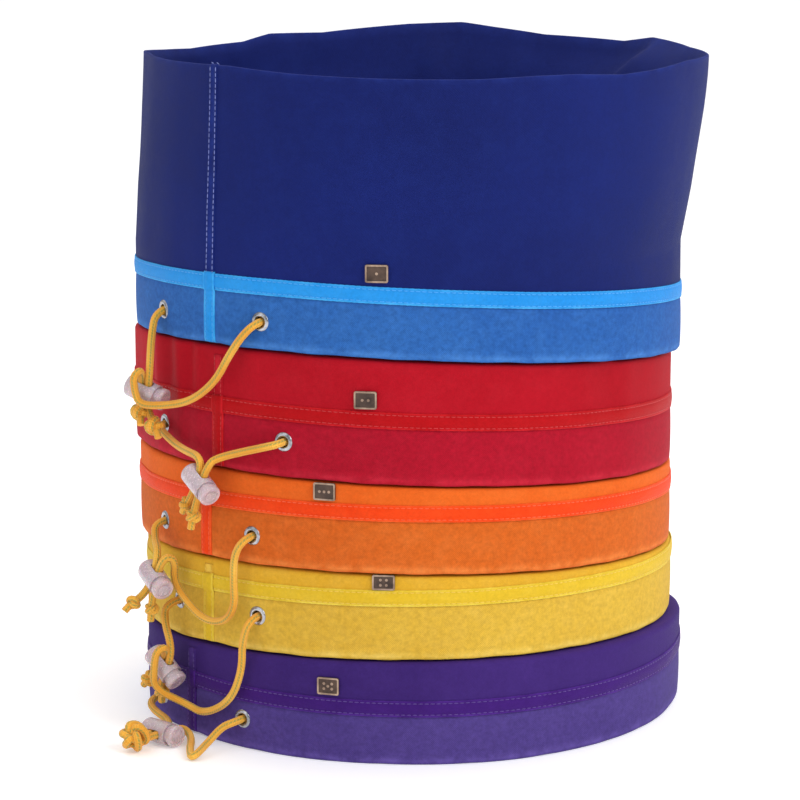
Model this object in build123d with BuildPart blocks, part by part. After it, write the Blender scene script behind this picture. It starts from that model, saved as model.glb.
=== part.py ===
from build123d import *
import os
from math import cos, radians, sin, tan

# A nest of five drawstring filter bags, colour by colour, standing mouth down one inside the other.
# +Z is up and the origin is the centre of the lowest bag's mouth. The drawcords hang at the front left.
# Azimuths are in degrees about Z, counted from -Y (the front) towards +X.

os.makedirs("parts", exist_ok=True)

# cloth
WALL = 0.8
SKIN = 0.6
BAND_T = 0.6
SCREEN_T = 0.6
BINDING_W = 10.0
SEAM_W = 2.4
SEAM_TAPE_W = 3.1
NEST_GAP = 0.5

# drawcord casing: two skins with a channel between them
CASING_T = 7.0
CASING_OVER = 5.0
BAND_W = 9.0

# eyelets
EYELET_BORE = 5.2
EYELET_BARREL = 6.0
EYELET_FLANGE = 10.5
WASHER_D = 9.5
SKIN_HOLE = 6.2

# drawcord
CORD = 4.5
CORD_DEPTH = 3.9
EXIT_BEND = 2.8
RUN_STEP = 15.0

# cord lock: the cords pass one above the other along the lock's axis
BARREL_D = 12.6
BARREL_BORE = 10.3
BARREL_LOW = -10.7
BARREL_FLOOR = 1.0
BARREL_TOP = 7.6
STEM_D = 10.0
STEM_LOW = -5.9
BUTTON_D = 12.0
BUTTON_LOW = 10.0
BUTTON_T = 3.2
PASS_PITCH = 4.7
SLOT_W = 4.8
SLOT_L = 9.4
TRAVEL = 2.2
WIRE = 0.5
SPRING_D = 7.4
PASS_IN = -14.0
PASS_OUT = 9.5
SHARED_OUT = 13.5
PASS_SHARES = (0.12, 0.28)

# size tag
TAG_W = 12.0
TAG_T = 0.9
TAG_RIM = 0.9
PIP_D = 1.5
PIPS = {
    1: [(0, 0)],
    2: [(-1.6, 0), (1.6, 0)],
    3: [(-2.6, 0), (0, 0), (2.6, 0)],
    4: [(-1.6, -1.4), (-1.6, 1.4), (1.6, -1.4), (1.6, 1.4)],
    5: [(-2.2, -1.4), (-2.2, 1.4), (0, 0), (2.2, -1.4), (2.2, 1.4)],
}

# The well is the bag's closed end pushed down inside it: (radius, height) of its face, lowest first.
WELL = [(130.5, 262.0), (138.2, 308.0), (142.0, 332.0), (153.4, 365.2)]
WELL_FOOT = 124.0
WELL_PITCH = 1.5


def polar(azimuth, radius, height):
    """A point given by azimuth, distance from the axis and height."""
    turn = radians(azimuth)
    return (radius * sin(turn), -radius * cos(turn), height)


def lock_plane(azimuth, radius, height, axis, through):
    """The lock's own plane: Z along its plunger and X the way the cords leave it."""
    return Plane(origin=polar(azimuth, radius, height), x_dir=through, z_dir=axis)


# Each bag: radius of its hem; hem plane as (height on the axis, rise per mm in X, rise per mm in Y);
# height of the band over the hem; radius of the wall where it is nested; height of the top fold;
# and azimuths and heights of seam, tag and eyelets.
BAGS = {
    "blue": {
        "radius": 152.5,
        "hem": (206.6, -0.0462, -0.0871),
        "band": 29.0,
        "wall": [(152.5, 200.0), (152.5, 262.0), (154.2, 292.0), (155.0, 335.0), (155.0, 365.2)],
        "fold": 366.0,
        "foot": 126.0,
        "seam": -43.5,
        "tag": (-6.3, 45.0, 9.4, 0.55),
        "pips": 1,
        "eyelets": [(-60.0, 233.4), (-30.7, 236.5)],
        "lock": lock_plane(-59.0, 166.2, 190.0, (0.85, -0.42, -0.31), (-0.15, 0.45, -0.88)),
    },
    "red": {
        "radius": 150.5,
        "hem": (142.5, -0.038, -0.0665),
        "band": 30.0,
        "wall": [(144.5, 100.0), (144.5, 331.0)],
        "fold": 331.0,
        "foot": 123.6,
        "seam": -42.3,
        "tag": (-8.7, 45.0, 9.4, 0.02),
        "pips": 2,
        "eyelets": [(-61.8, 169.3), (-26.0, 173.0)],
        "lock": lock_plane(-42.8, 164.2, 147.5, (0.5, -0.76, -0.42), (-0.3, 0.33, -0.88)),
    },
    "orange": {
        "radius": 150.0,
        "hem": (93.5, -0.0167, -0.073),
        "band": 28.5,
        "wall": [(142.5, 60.0), (142.5, 306.0)],
        "fold": 306.0,
        "foot": 121.2,
        "seam": -46.4,
        "tag": (-17.2, 43.4, 9.4, 0.02),
        "pips": 3,
        "eyelets": [(-62.7, 114.5), (-33.8, 119.5)],
        "lock": lock_plane(-56.6, 165.6, 87.4, (0.42, -0.85, -0.32), (-0.25, 0.25, -0.93)),
    },
    "yellow": {
        "radius": 148.5,
        "hem": (49.3, 0.0071, -0.054),
        "band": 29.5,
        "wall": [(141.0, 20.0), (141.0, 285.0)],
        "fold": 285.0,
        "foot": 118.8,
        "seam": -46.8,
        "tag": (-5.2, 42.8, 8.2, 0.02),
        "pips": 4,
        "eyelets": [(-57.4, 72.5), (-33.0, 75.3)],
        "lock": lock_plane(-55.2, 163.1, 38.7, (0.6, -0.5, -0.62), (-0.35, 0.57, -0.8)),
    },
    "purple": {
        "radius": 150.0,
        "hem": (0.0, 0.0, 0.0),
        "band": 26.5,
        "wall": [(139.5, 10.0), (139.5, 260.0)],
        "fold": 260.0,
        "foot": 116.4,
        "seam": -52.4,
        "tag": (-16.6, 42.0, 9.4, 0.02),
        "pips": 5,
        "eyelets": [(-64.5, 13.8), (-36.7, 16.6)],
        "lock": lock_plane(-50.3, 175.2, 6.5, (0.75, -0.66, 0.0), (-0.66, -0.75, 0.0)),
    },
}
NEST = ["blue", "red", "orange", "yellow", "purple"]


def near_lock(colour, along, across, out):
    """A point in the lock's frame: along its axis, along the cords, and square to both."""
    spot = BAGS[colour]["lock"].from_local_coords(Vector(across, out, along))
    return (spot.X, spot.Y, spot.Z)


# Each drawcord: the points of its two free strands, from the eyelet to the lock; the row of the lock
# each passes through; and the centre and radius of the knot at its end.
half = PASS_PITCH / 2
CORDS = {
    "blue": {
        "left": [
            polar(-60.0, 157.5, 233.2),
            polar(-60.4, 160.0, 219.0),
            near_lock("blue", half, PASS_IN, 0),
        ],
        "right": [
            polar(-30.7, 158.0, 236.3),
            polar(-33.5, 159.0, 229.0),
            polar(-37.0, 158.0, 217.0),
            polar(-40.5, 158.0, 202.0),
            polar(-46.5, 160.0, 189.5),
            polar(-52.0, 166.0, 185.5),
            near_lock("blue", 3.0, 2.0, -9.8),
            near_lock("blue", -1.5, -6.0, -8.8),
            near_lock("blue", -3.4, PASS_IN, -7.8),
            near_lock("blue", -half, PASS_IN, 0),
        ],
        "rows": (half, -half),
        "knots": [(polar(-57.7, 166.0, 171.5), 4.8), (polar(-61.6, 168.0, 176.5), 4.8)],
    },
    "red": {
        "left": [
            polar(-61.8, 155.0, 169.2),
            polar(-57.5, 156.5, 165.5),
            polar(-50.5, 158.5, 161.5),
            near_lock("red", -half, PASS_IN, 0),
        ],
        "right": [
            polar(-26.0, 156.5, 172.8),
            polar(-29.0, 157.5, 170.5),
            polar(-34.0, 158.0, 166.5),
            polar(-38.5, 160.0, 162.5),
            near_lock("red", half, PASS_IN, 0),
        ],
        "rows": (-half, half),
        "knots": [
            (near_lock("red", -half - 3.2, 18.0, 0.5), 4.0),
            (near_lock("red", half + 2.0, 19.0, -0.5), 4.0),
        ],
    },
    "orange": {
        "left": [polar(-62.7, 156.5, 114.3), polar(-61.4, 158.5, 105.5), near_lock("orange", -half, PASS_IN, 0)],
        "right": [
            polar(-33.8, 157.0, 119.3),
            polar(-36.5, 156.5, 110.0),
            polar(-37.0, 156.0, 95.0),
            polar(-36.6, 156.0, 80.5),
            polar(-39.5, 155.5, 70.5),
            polar(-45.0, 155.5, 68.5),
            polar(-49.8, 156.5, 75.5),
            near_lock("orange", 4.5, 0.0, 9.5),
            near_lock("orange", half + 0.6, PASS_IN, 7.9),
            near_lock("orange", half, PASS_IN, 0),
        ],
        "rows": (-half, half),
        "knots": [(polar(-60.5, 179.5, 72.5), 3.3), (near_lock("orange", half + 1.5, 17.5, 0.5), 3.8)],
    },
    "yellow": {
        "left": [polar(-57.4, 156.5, 72.3), polar(-58.0, 158.5, 62.5), near_lock("yellow", half, PASS_IN, 0)],
        "right": [
            polar(-33.0, 156.5, 75.0),
            polar(-34.8, 156.5, 62.0),
            polar(-35.0, 156.0, 46.0),
            polar(-38.0, 156.0, 27.0),
            polar(-45.5, 156.0, 15.5),
            polar(-50.0, 158.5, 19.5),
            near_lock("yellow", 7.5, 7.0, -10.0),
            near_lock("yellow", 1.0, -4.5, -9.6),
            near_lock("yellow", -3.4, PASS_IN, -7.8),
            near_lock("yellow", -half, PASS_IN, 0),
        ],
        "rows": (half, -half),
        "knots": [
            (near_lock("yellow", half + 3.4, 17.0, 0.5), 4.0),
            (near_lock("yellow", -half - 2.2, 18.0, -0.5), 4.2),
        ],
    },
    "purple": {
        "left": [
            polar(-64.5, 156.0, 13.6),
            polar(-62.0, 163.0, 10.0),
            near_lock("purple", -half, PASS_IN, 0),
        ],
        "right": [
            polar(-36.7, 156.5, 16.4),
            polar(-39.2, 159.5, 13.0),
            polar(-40.0, 168.0, 6.0),
            polar(-38.0, 188.5, 2.4),
            polar(-42.6, 174.5, 2.6),
            near_lock("purple", 17.5, -6.0, 3.5),
            near_lock("purple", 10.0, -12.5, 2.0),
            near_lock("purple", half, PASS_IN, 0),
        ],
        "rows": (-half, half),
        "knots": [(near_lock("purple", 0.0, 19.75, -2.2), 8.5)],
    },
}


def hem_height(colour, azimuth, radius):
    """Height of a bag's hem at an azimuth."""
    level, rise_x, rise_y = BAGS[colour]["hem"]
    x, y, z = polar(azimuth, radius, 0.0)
    return level + rise_x * x + rise_y * y


def hem_plane(colour, height):
    """The bag's sloping hem plane, raised by a height."""
    level, rise_x, rise_y = BAGS[colour]["hem"]
    return Plane(origin=(0, 0, level + height), z_dir=(-rise_x, -rise_y, 1))


def hoop(inner, outer, low, high):
    """A hoop about Z whose edges follow two sloping planes."""
    with BuildPart() as ring:
        with BuildSketch(Plane.XY.offset(low.origin.Z - 25)):
            Circle(outer)
            Circle(inner, mode=Mode.SUBTRACT)
        extrude(amount=high.origin.Z - low.origin.Z + 50)
        split(bisect_by=low, keep=Keep.TOP)
        split(bisect_by=high, keep=Keep.BOTTOM)
    return ring.part


def strip(azimuth, width, inner, outer, low, high):
    """A narrow upright strip on the hoop, width in degrees."""
    start = radians(azimuth - width / 2)
    side = Plane(origin=(0, 0, 0), x_dir=(sin(start), -cos(start), 0), z_dir=(-cos(start), -sin(start), 0))
    with BuildPart() as bar:
        with BuildSketch(side):
            with Locations(((inner + outer) / 2, (low.origin.Z + high.origin.Z) / 2)):
                Rectangle(outer - inner, high.origin.Z - low.origin.Z + 60)
        revolve(axis=Axis.Z, revolution_arc=width)
        split(bisect_by=low, keep=Keep.TOP)
        split(bisect_by=high, keep=Keep.BOTTOM)
    return bar.part


def well_face(index, height):
    """Radius of the well's face in one bag of the nest, at a height."""
    foot = BAGS[NEST[index]]["foot"]
    corners = [(WELL_FOOT, foot)] + WELL
    for (r0, z0), (r1, z1) in zip(corners, corners[1:]):
        if height <= z1:
            return r0 + (r1 - r0) * (height - z0) / (z1 - z0) + WELL_PITCH * index
    return corners[-1][0] + WELL_PITCH * index


def eyelet_plane(colour, azimuth, height):
    """A plane square to the hem's outer face at an eyelet."""
    turn = radians(azimuth)
    spot = polar(azimuth, BAGS[colour]["radius"], height)
    return Plane(origin=spot, x_dir=(cos(turn), sin(turn), 0), z_dir=(sin(turn), -cos(turn), 0))


def toward(start, end):
    """Unit vector from one point to another."""
    return (Vector(*end) - Vector(*start)).normalized()


def cord_route(colour):
    """The drawcord's corner points from knot to knot, and the radius of the bend at each."""
    cord = CORDS[colour]
    depth = BAGS[colour]["radius"] - CORD_DEPTH
    (left_azimuth, left_z), (right_azimuth, right_z) = BAGS[colour]["eyelets"]
    strands = []
    for side, strand in enumerate(("left", "right")):
        row = cord["rows"][side]
        out = near_lock(colour, row, PASS_OUT, 0)
        if len(cord["knots"]) == 2:
            centre, size = cord["knots"][side]
            tip = Vector(*centre) - toward(out, centre) * size / 2
            strands.append(cord[strand] + [out, (tip.X, tip.Y, tip.Z)])
        else:
            strands.append(cord[strand] + [near_lock(colour, row, SHARED_OUT, 0)])
    # the hidden run goes the long way round inside the casing
    span = 360.0 - (right_azimuth - left_azimuth)
    count = round(span / RUN_STEP) - 1
    step = (span - RUN_STEP) / count
    first_rise = left_z - hem_height(colour, left_azimuth, depth)
    last_rise = right_z - hem_height(colour, right_azimuth, depth)
    run = [polar(left_azimuth, depth + 0.2, left_z)]
    for number in range(count + 1):
        turned = RUN_STEP / 2 + step * number
        azimuth = left_azimuth - turned
        radius = depth / cos(radians(step / 2))
        if number in (0, count):
            radius = radius - 0.3
        rise = first_rise + (last_rise - first_rise) * turned / span
        run.append(polar(azimuth, radius, hem_height(colour, azimuth, radius) + rise))
    run.append(polar(right_azimuth, depth + 0.2, right_z))
    left, right = strands
    points = left[::-1] + run + right
    # a bend takes up to 0.45 of each run beside it, but less of the straight pass through the lock
    ahead = [0.45] * (len(points) - 1)
    behind = ahead[:]
    first, last = len(cord["knots"]) - 1, -len(cord["knots"])
    ahead[first], behind[first] = PASS_SHARES
    behind[last], ahead[last] = PASS_SHARES
    eyelets = (len(left), len(left) + len(run) - 1)
    radii = []
    for i in range(1, len(points) - 1):
        before = (Vector(*points[i]) - Vector(*points[i - 1])).length
        after = (Vector(*points[i + 1]) - Vector(*points[i])).length
        turn = toward(points[i - 1], points[i]).get_angle(toward(points[i], points[i + 1]))
        reach = min(before * behind[i - 1], after * ahead[i])
        radii.append(EXIT_BEND if i in eyelets else reach / tan(radians(turn) / 2))
    return points, radii


def finish(piece, name):
    """Labels a piece and writes it out."""
    piece.label = name
    export_step(piece, "parts/" + name + ".step")


# ---- the cord lock, made once about its own axis and placed on each drawcord ----

with BuildPart() as barrel:
    with BuildSketch(Plane.XY.offset(BARREL_LOW)):
        Circle(BARREL_D / 2)
    extrude(amount=BARREL_TOP - BARREL_LOW)
    fillet(barrel.edges().filter_by(GeomType.CIRCLE).sort_by(Axis.Z)[0], radius=2.2)
    with BuildSketch(Plane.XY.offset(BARREL_LOW + BARREL_FLOOR)):
        Circle(BARREL_BORE / 2)
    extrude(amount=BARREL_TOP - BARREL_LOW, mode=Mode.SUBTRACT)
    fillet(barrel.edges().filter_by(GeomType.CIRCLE).sort_by(Axis.Z)[-1], radius=0.3)
    with BuildSketch(Plane.YZ):
        RectangleRounded(SLOT_W, SLOT_L, 1.8)
    extrude(amount=BARREL_D, both=True, mode=Mode.SUBTRACT)

with BuildPart() as plunger:
    with BuildSketch(Plane.XY.offset(STEM_LOW)):
        Circle(STEM_D / 2)
    extrude(amount=BUTTON_LOW - STEM_LOW)
    with BuildSketch(Plane.XY.offset(BUTTON_LOW)):
        Circle(BUTTON_D / 2)
    extrude(amount=BUTTON_T)
    fillet(plunger.edges().filter_by(GeomType.CIRCLE).sort_by(Axis.Z)[-1], radius=1.2)
    with BuildSketch(Plane.XY.offset(BUTTON_LOW + BUTTON_T)):
        Circle(3.9)
        Circle(3.1, mode=Mode.SUBTRACT)
    extrude(amount=-0.4, mode=Mode.SUBTRACT)
    with BuildSketch(Plane.YZ):
        with Locations((0, TRAVEL / 2)):
            RectangleRounded(SLOT_W, SLOT_L + TRAVEL, 1.8)
    extrude(amount=BARREL_D, both=True, mode=Mode.SUBTRACT)

spring_low = BARREL_LOW + BARREL_FLOOR + WIRE / 2
spring_rise = STEM_LOW - WIRE / 2 - spring_low
with BuildPart() as spring:
    with BuildLine(Plane.XY.offset(spring_low)) as coil:
        Helix(pitch=spring_rise / 2, height=spring_rise, radius=SPRING_D / 2)
    with BuildSketch(Plane(origin=coil.line @ 0, z_dir=coil.line % 0)):
        Circle(WIRE / 2)
    sweep()

# ---- the bags, from the top of the nest down ----

for index, colour in enumerate(NEST):
    bag = BAGS[colour]
    radius = bag["radius"]
    fold = bag["fold"]
    foot = bag["foot"]
    foot_r = WELL_FOOT + WELL_PITCH * index
    band_low = hem_plane(colour, bag["band"])
    band_high = hem_plane(colour, bag["band"] + BAND_W)
    casing_top = hem_plane(colour, bag["band"] + CASING_OVER)

    # outer wall: straight above the hem, then drawn in below the next bag's hem by a shoulder
    wall = bag["wall"]
    with BuildPart() as outer:
        with BuildSketch(Plane.XZ):
            with BuildLine():
                Polyline(*wall, *[(r - WALL, z) for r, z in wall[::-1]], close=True)
            make_face()
        revolve(axis=Axis.Z)
        if index == 0:
            split(bisect_by=casing_top, keep=Keep.TOP)
            ledge = Plane.XY.offset(fold)
        else:
            ledge = hem_plane(NEST[index - 1], -NEST_GAP)
            split(bisect_by=hem_plane(NEST[index - 1], -NEST_GAP - WALL), keep=Keep.TOP)
            add(hoop(wall[0][0] - WALL, radius, hem_plane(NEST[index - 1], -NEST_GAP - WALL), ledge))
            add(hoop(radius - WALL, radius, casing_top, ledge))

    # lapped seam standing proud of the wall, above the band
    lap_start = radians(bag["seam"] - SEAM_W / 2)
    lap_side = Plane((0, 0, 0), (sin(lap_start), -cos(lap_start), 0), (-cos(lap_start), -sin(lap_start), 0))
    if index == 0:
        lap_line = [(r, z) for r, z in wall if z < fold - 2] + [(wall[-1][0], fold - 1.5)]
    else:
        lap_line = [(radius, foot - 130), (radius, fold)]
    with BuildPart() as lap:
        with BuildSketch(lap_side):
            with BuildLine():
                inner_line = [(r - 0.2, z) for r, z in lap_line]
                outer_line = [(r + 0.5, z) for r, z in lap_line]
                Polyline(*outer_line, *inner_line[::-1], close=True)
            make_face()
        revolve(axis=Axis.Z, revolution_arc=SEAM_W)
        split(bisect_by=hem_plane(colour, bag["band"] + BAND_W + 0.1), keep=Keep.TOP)
        if index > 0:
            split(bisect_by=ledge, keep=Keep.BOTTOM)

    # the wall ends in the narrow ring of the top fold
    with BuildPart() as body:
        with BuildSketch(Plane.XY.offset(fold - WALL)):
            Circle(wall[-1][0])
            Circle(well_face(index, fold), mode=Mode.SUBTRACT)
        extrude(amount=WALL)
        add(outer.part)
        add(lap.part)
    finish(body.part, colour + "_body")

    # well: the closed end pushed down inside, from the top fold to the screen
    face = [(foot_r, foot)]
    for corner_r, corner_z in WELL:
        if corner_z < fold - 2:
            face.append((corner_r + WELL_PITCH * index, corner_z))
    face.append((well_face(index, fold), fold - WALL))
    with BuildPart() as well:
        with BuildSketch(Plane.XZ):
            with BuildLine():
                Polyline(*face, *[(r + WALL, z) for r, z in face[::-1]], close=True)
            make_face()
        revolve(axis=Axis.Z)
        add(body.part, mode=Mode.SUBTRACT)
    finish(well.part, colour + "_well")

    # drawcord casing with its channel and the two eyelet holes
    with BuildPart() as casing:
        add(hoop(radius - CASING_T, radius, hem_plane(colour, 0), casing_top))
        inner_r = radius - CASING_T + SKIN
        floor = hem_plane(colour, WALL)
        ceiling = hem_plane(colour, bag["band"] + CASING_OVER - WALL)
        add(hoop(inner_r, radius - SKIN, floor, ceiling), mode=Mode.SUBTRACT)
        for azimuth, height in bag["eyelets"]:
            with BuildSketch(eyelet_plane(colour, azimuth, height).offset(0.5)):
                Circle(SKIN_HOLE / 2)
            extrude(amount=-SKIN - 1.0, mode=Mode.SUBTRACT)
    finish(casing.part, colour + "_hem_casing")

    # contrast band round the top of the casing, and the tape that covers the seam below it
    with BuildPart() as tapes:
        add(hoop(radius, radius + BAND_T, band_low, band_high))
        add(strip(bag["seam"], SEAM_TAPE_W, radius, radius + BAND_T, hem_plane(colour, 0.3), band_low))
    finish(tapes.part, colour + "_tapes")

    # filter screen closing the well, and the binding round its edge
    with BuildPart() as screen:
        with BuildSketch(Plane.XY.offset(foot - SCREEN_T)):
            Circle(foot_r + WALL)
        extrude(amount=SCREEN_T)
    finish(screen.part, colour + "_mesh_screen")
    with BuildPart() as binding:
        with BuildSketch(Plane.XY.offset(foot)):
            Circle(foot_r - 0.05)
            Circle(foot_r - BINDING_W, mode=Mode.SUBTRACT)
        extrude(amount=BAND_T)
    finish(binding.part, colour + "_screen_binding")

    # two eyelets: a flanged barrel from outside, clinched over a washer inside the channel
    with BuildPart() as eyelets:
        for azimuth, height in bag["eyelets"]:
            seat = eyelet_plane(colour, azimuth, height)
            with BuildSketch(seat.offset(0.02)):
                Circle(EYELET_FLANGE / 2)
            extrude(amount=0.6)
            with BuildSketch(seat.offset(-1.3)):
                Circle(EYELET_BARREL / 2)
            extrude(amount=1.4)
            with BuildSketch(seat.offset(-1.1)):
                Circle(WASHER_D / 2)
            extrude(amount=0.4)
            with BuildSketch(seat.offset(-1.5)):
                Circle(EYELET_BORE / 2)
            extrude(amount=2.5, mode=Mode.SUBTRACT)
    finish(eyelets.part, colour + "_eyelets")

    # drawcord: one length from knot to knot, through the lock, an eyelet and the casing, and back
    route, radii = cord_route(colour)
    with BuildPart() as cord:
        with BuildLine() as path:
            FilletPolyline(*route, radius=radii)
        with BuildSketch(Plane(origin=path.line @ 0, z_dir=path.line % 0)):
            Circle(CORD / 2)
        sweep()
        for centre, size in CORDS[colour]["knots"]:
            with Locations(centre):
                Sphere(size)
    finish(cord.part, colour + "_drawcord")

    # the cord lock's three pieces
    finish(barrel.part.moved(bag["lock"].location), colour + "_lock_barrel")
    finish(plunger.part.moved(bag["lock"].location), colour + "_lock_plunger")
    finish(spring.part.moved(bag["lock"].location), colour + "_lock_spring")

    # size tag: a plate with a raised rim and one pip for each step in the set
    azimuth, rise, tall, stand = bag["tag"]
    height = hem_height(colour, azimuth, radius) + rise
    plate = eyelet_plane(colour, azimuth, height).offset(stand)
    with BuildPart() as tag:
        with BuildSketch(plate):
            RectangleRounded(TAG_W, tall, 1.0)
        extrude(amount=TAG_T)
        with BuildSketch(plate.offset(TAG_T)):
            RectangleRounded(TAG_W, tall, 1.0)
            RectangleRounded(TAG_W - 2 * TAG_RIM, tall - 2 * TAG_RIM, 0.5, mode=Mode.SUBTRACT)
            with Locations(*PIPS[bag["pips"]]):
                Circle(PIP_D / 2)
        extrude(amount=0.3)
    finish(tag.part, colour + "_size_tag")

    bends = [round(r, 1) for r in radii]
    length = sum(edge.length for edge in path.line.edges())
    section = CORD * CORD * 3.14159265 / 4
    print(colour, "cord", round(length, 1), "mm, volume over section", round(cord.part.volume / section, 1))
    print(colour, "bend radii", bends)
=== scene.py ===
from collections import namedtuple
from math import cos, pi, radians, sin, tau

import bmesh
import bpy
import numpy as np
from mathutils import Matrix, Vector


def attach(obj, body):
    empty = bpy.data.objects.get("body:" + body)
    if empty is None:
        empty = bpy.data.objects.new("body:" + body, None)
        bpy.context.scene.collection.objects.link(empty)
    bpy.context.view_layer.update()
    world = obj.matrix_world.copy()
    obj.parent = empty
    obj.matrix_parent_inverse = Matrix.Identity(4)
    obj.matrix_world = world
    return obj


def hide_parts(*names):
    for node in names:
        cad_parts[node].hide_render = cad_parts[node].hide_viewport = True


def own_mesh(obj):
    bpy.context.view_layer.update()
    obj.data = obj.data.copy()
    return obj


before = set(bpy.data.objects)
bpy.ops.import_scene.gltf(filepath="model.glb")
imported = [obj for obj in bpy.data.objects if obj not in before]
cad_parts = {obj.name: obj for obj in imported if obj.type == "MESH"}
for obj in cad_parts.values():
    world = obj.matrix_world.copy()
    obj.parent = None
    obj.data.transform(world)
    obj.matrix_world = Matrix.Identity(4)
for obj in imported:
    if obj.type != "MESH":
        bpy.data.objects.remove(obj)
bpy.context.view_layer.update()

# A nest of five drawstring filter bags standing mouth down. Everything is in metres, in the row frame.
# Azimuths are in degrees about Z, counted from -Y (the front) towards +X.

NEST = ["blue", "red", "orange", "yellow", "purple"]


def polar(azimuth, radius, height):
    """A point given by azimuth, distance from the axis and height."""
    turn = radians(azimuth)
    return (radius * sin(turn), -radius * cos(turn), height)


# ---- camera and light ----

scene = bpy.context.scene
scene.view_settings.view_transform = "Standard"
camera = bpy.data.objects.new("camera", bpy.data.cameras.new("camera"))
camera.data.lens = 150.96
camera.data.sensor_width = 36.0
camera.data.clip_end = 60.0
camera.location = (-0.0048, -1.8594, 0.55456)
LOOKS_DOWN = 11.765  # degrees
camera.rotation_euler = (radians(90 - LOOKS_DOWN), 0, 0)
scene.collection.objects.link(camera)
scene.camera = camera


def softbox(name, spot, size, watts):
    """A square area light at a spot, turned towards the middle of the nest."""
    lamp = bpy.data.lights.new(name, "AREA")
    lamp.shape, lamp.size, lamp.energy = "SQUARE", size, watts
    holder = bpy.data.objects.new(name, lamp)
    holder.location = spot
    holder.rotation_euler = (MIDDLE - Vector(spot)).to_track_quat("-Z", "Y").to_euler()
    scene.collection.objects.link(holder)


MIDDLE = Vector((0, 0, 0.19))
softbox("key_light", (1.4, -1.3, 1.5), 1.2, 24)
softbox("fill_light", (-1.6, -1.5, 0.9), 1.5, 5)
softbox("top_light", (0.2, 0.5, 2.0), 1.4, 13)
world = bpy.data.worlds.new("studio")
world.use_nodes = True
sky = world.node_tree
sky_place = sky.nodes.new("ShaderNodeTexCoord")
sky_split = sky.nodes.new("ShaderNodeSeparateXYZ")
sky_ramp = sky.nodes.new("ShaderNodeMapRange")
SKY = {"From Min": -0.1, "From Max": 0.9, "To Min": 0.42, "To Max": 1.05}  # paler upwards
for key, value in SKY.items():
    sky_ramp.inputs[key].default_value = value
sky.links.new(sky_place.outputs["Generated"], sky_split.inputs[0])
sky.links.new(sky_split.outputs[2], sky_ramp.inputs[0])
sky.links.new(sky_ramp.outputs[0], sky.nodes["Background"].inputs["Strength"])
sky.nodes["Background"].inputs["Color"].default_value = (1, 1, 1, 1)
scene.world = world

# ---- measures of the bags ----
# hem: height of the hem plane on the axis, its rise per metre in X and in Y
# lock: azimuth, radius, height, direction of its button, way the cords leave it

BAGS = {
    "blue": {
        "radius": 0.1525, "hem": (0.2066, -0.0462, -0.0871), "band": 0.0290, "nested": 0.1525,
        "fold": 0.3660, "foot": 0.1260, "seam": -43.5, "lean": 0.0093, "tag": (-6.3, 0.2611),
        "eyelets": [(-60.0, 0.2334), (-30.7, 0.2365)],
        "lock": (-59.0, 0.1662, 0.1900, (0.85, -0.42, -0.31), (-0.15, 0.45, -0.88)),
    },
    "red": {
        "radius": 0.1505, "hem": (0.1425, -0.0380, -0.0665), "band": 0.0300, "nested": 0.1445,
        "fold": 0.3310, "foot": 0.1236, "seam": -42.3, "lean": -0.0033, "tag": (-8.7, 0.1983),
        "eyelets": [(-61.8, 0.1693), (-26.0, 0.1730)],
        "lock": (-42.8, 0.1642, 0.1475, (0.5, -0.76, -0.42), (-0.3, 0.33, -0.88)),
    },
    "orange": {
        "radius": 0.1500, "hem": (0.0935, -0.0167, -0.0730), "band": 0.0285, "nested": 0.1425,
        "fold": 0.3060, "foot": 0.1212, "seam": -46.4, "lean": -0.0015, "tag": (-17.2, 0.1481),
        "eyelets": [(-62.7, 0.1145), (-33.8, 0.1195)],
        "lock": (-56.6, 0.1656, 0.0874, (0.42, -0.85, -0.32), (-0.25, 0.25, -0.93)),
    },
    "yellow": {
        "radius": 0.1485, "hem": (0.0493, 0.0071, -0.0540), "band": 0.0295, "nested": 0.1410,
        "fold": 0.2850, "foot": 0.1188, "seam": -46.8, "lean": 0.0006, "tag": (-5.2, 0.1000),
        "eyelets": [(-57.4, 0.0725), (-33.0, 0.0753)],
        "lock": (-55.2, 0.1631, 0.0387, (0.6, -0.5, -0.62), (-0.35, 0.57, -0.8)),
    },
    "purple": {
        "radius": 0.1500, "hem": (0.0, 0.0, 0.0), "band": 0.0265, "nested": 0.1395,
        "fold": 0.2600, "foot": 0.1164, "seam": -52.4, "lean": 0.0042, "tag": (-16.6, 0.0420),
        "eyelets": [(-64.5, 0.0138), (-36.7, 0.0166)],
        "lock": (-50.3, 0.1752, 0.0065, (0.75, -0.66, 0.0), (-0.66, -0.75, 0.0)),
    },
}

CASING_T = 0.0070  # the casing's depth, outside to inside
CASING_OVER = 0.0050  # how far it runs up under the band
BAND_W = 0.0090
CORD = 0.0045
CORD_DEPTH = 0.0039  # the cord's middle inside the casing
HALF = 0.00235  # each cord's place off the middle of the lock's slot
LEAD_IN = 0.0005  # kept clear of the slot's end as the button is pressed
PASS_IN = -0.0140
PASS_OUT = 0.0095
WELL = [(0.1240, 0.1260), (0.1305, 0.2620), (0.1382, 0.3080), (0.1420, 0.3320), (0.1534, 0.3652)]
WELL_PITCH = 0.0015
WALL = 0.0008
LIP = 0.0008  # half the height of the rolled fold
BLUE_WALL = [(0.1525, 0.2000), (0.1525, 0.2620), (0.1542, 0.2920), (0.1550, 0.3350), (0.1550, 0.3652)]


def hem_height(colour, azimuth):
    """Height of a bag's hem at azimuths in degrees."""
    level, rise_x, rise_y = BAGS[colour]["hem"]
    radius = BAGS[colour]["radius"]
    turn = np.radians(azimuth)
    return level + rise_x * radius * np.sin(turn) - rise_y * radius * np.cos(turn)


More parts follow.
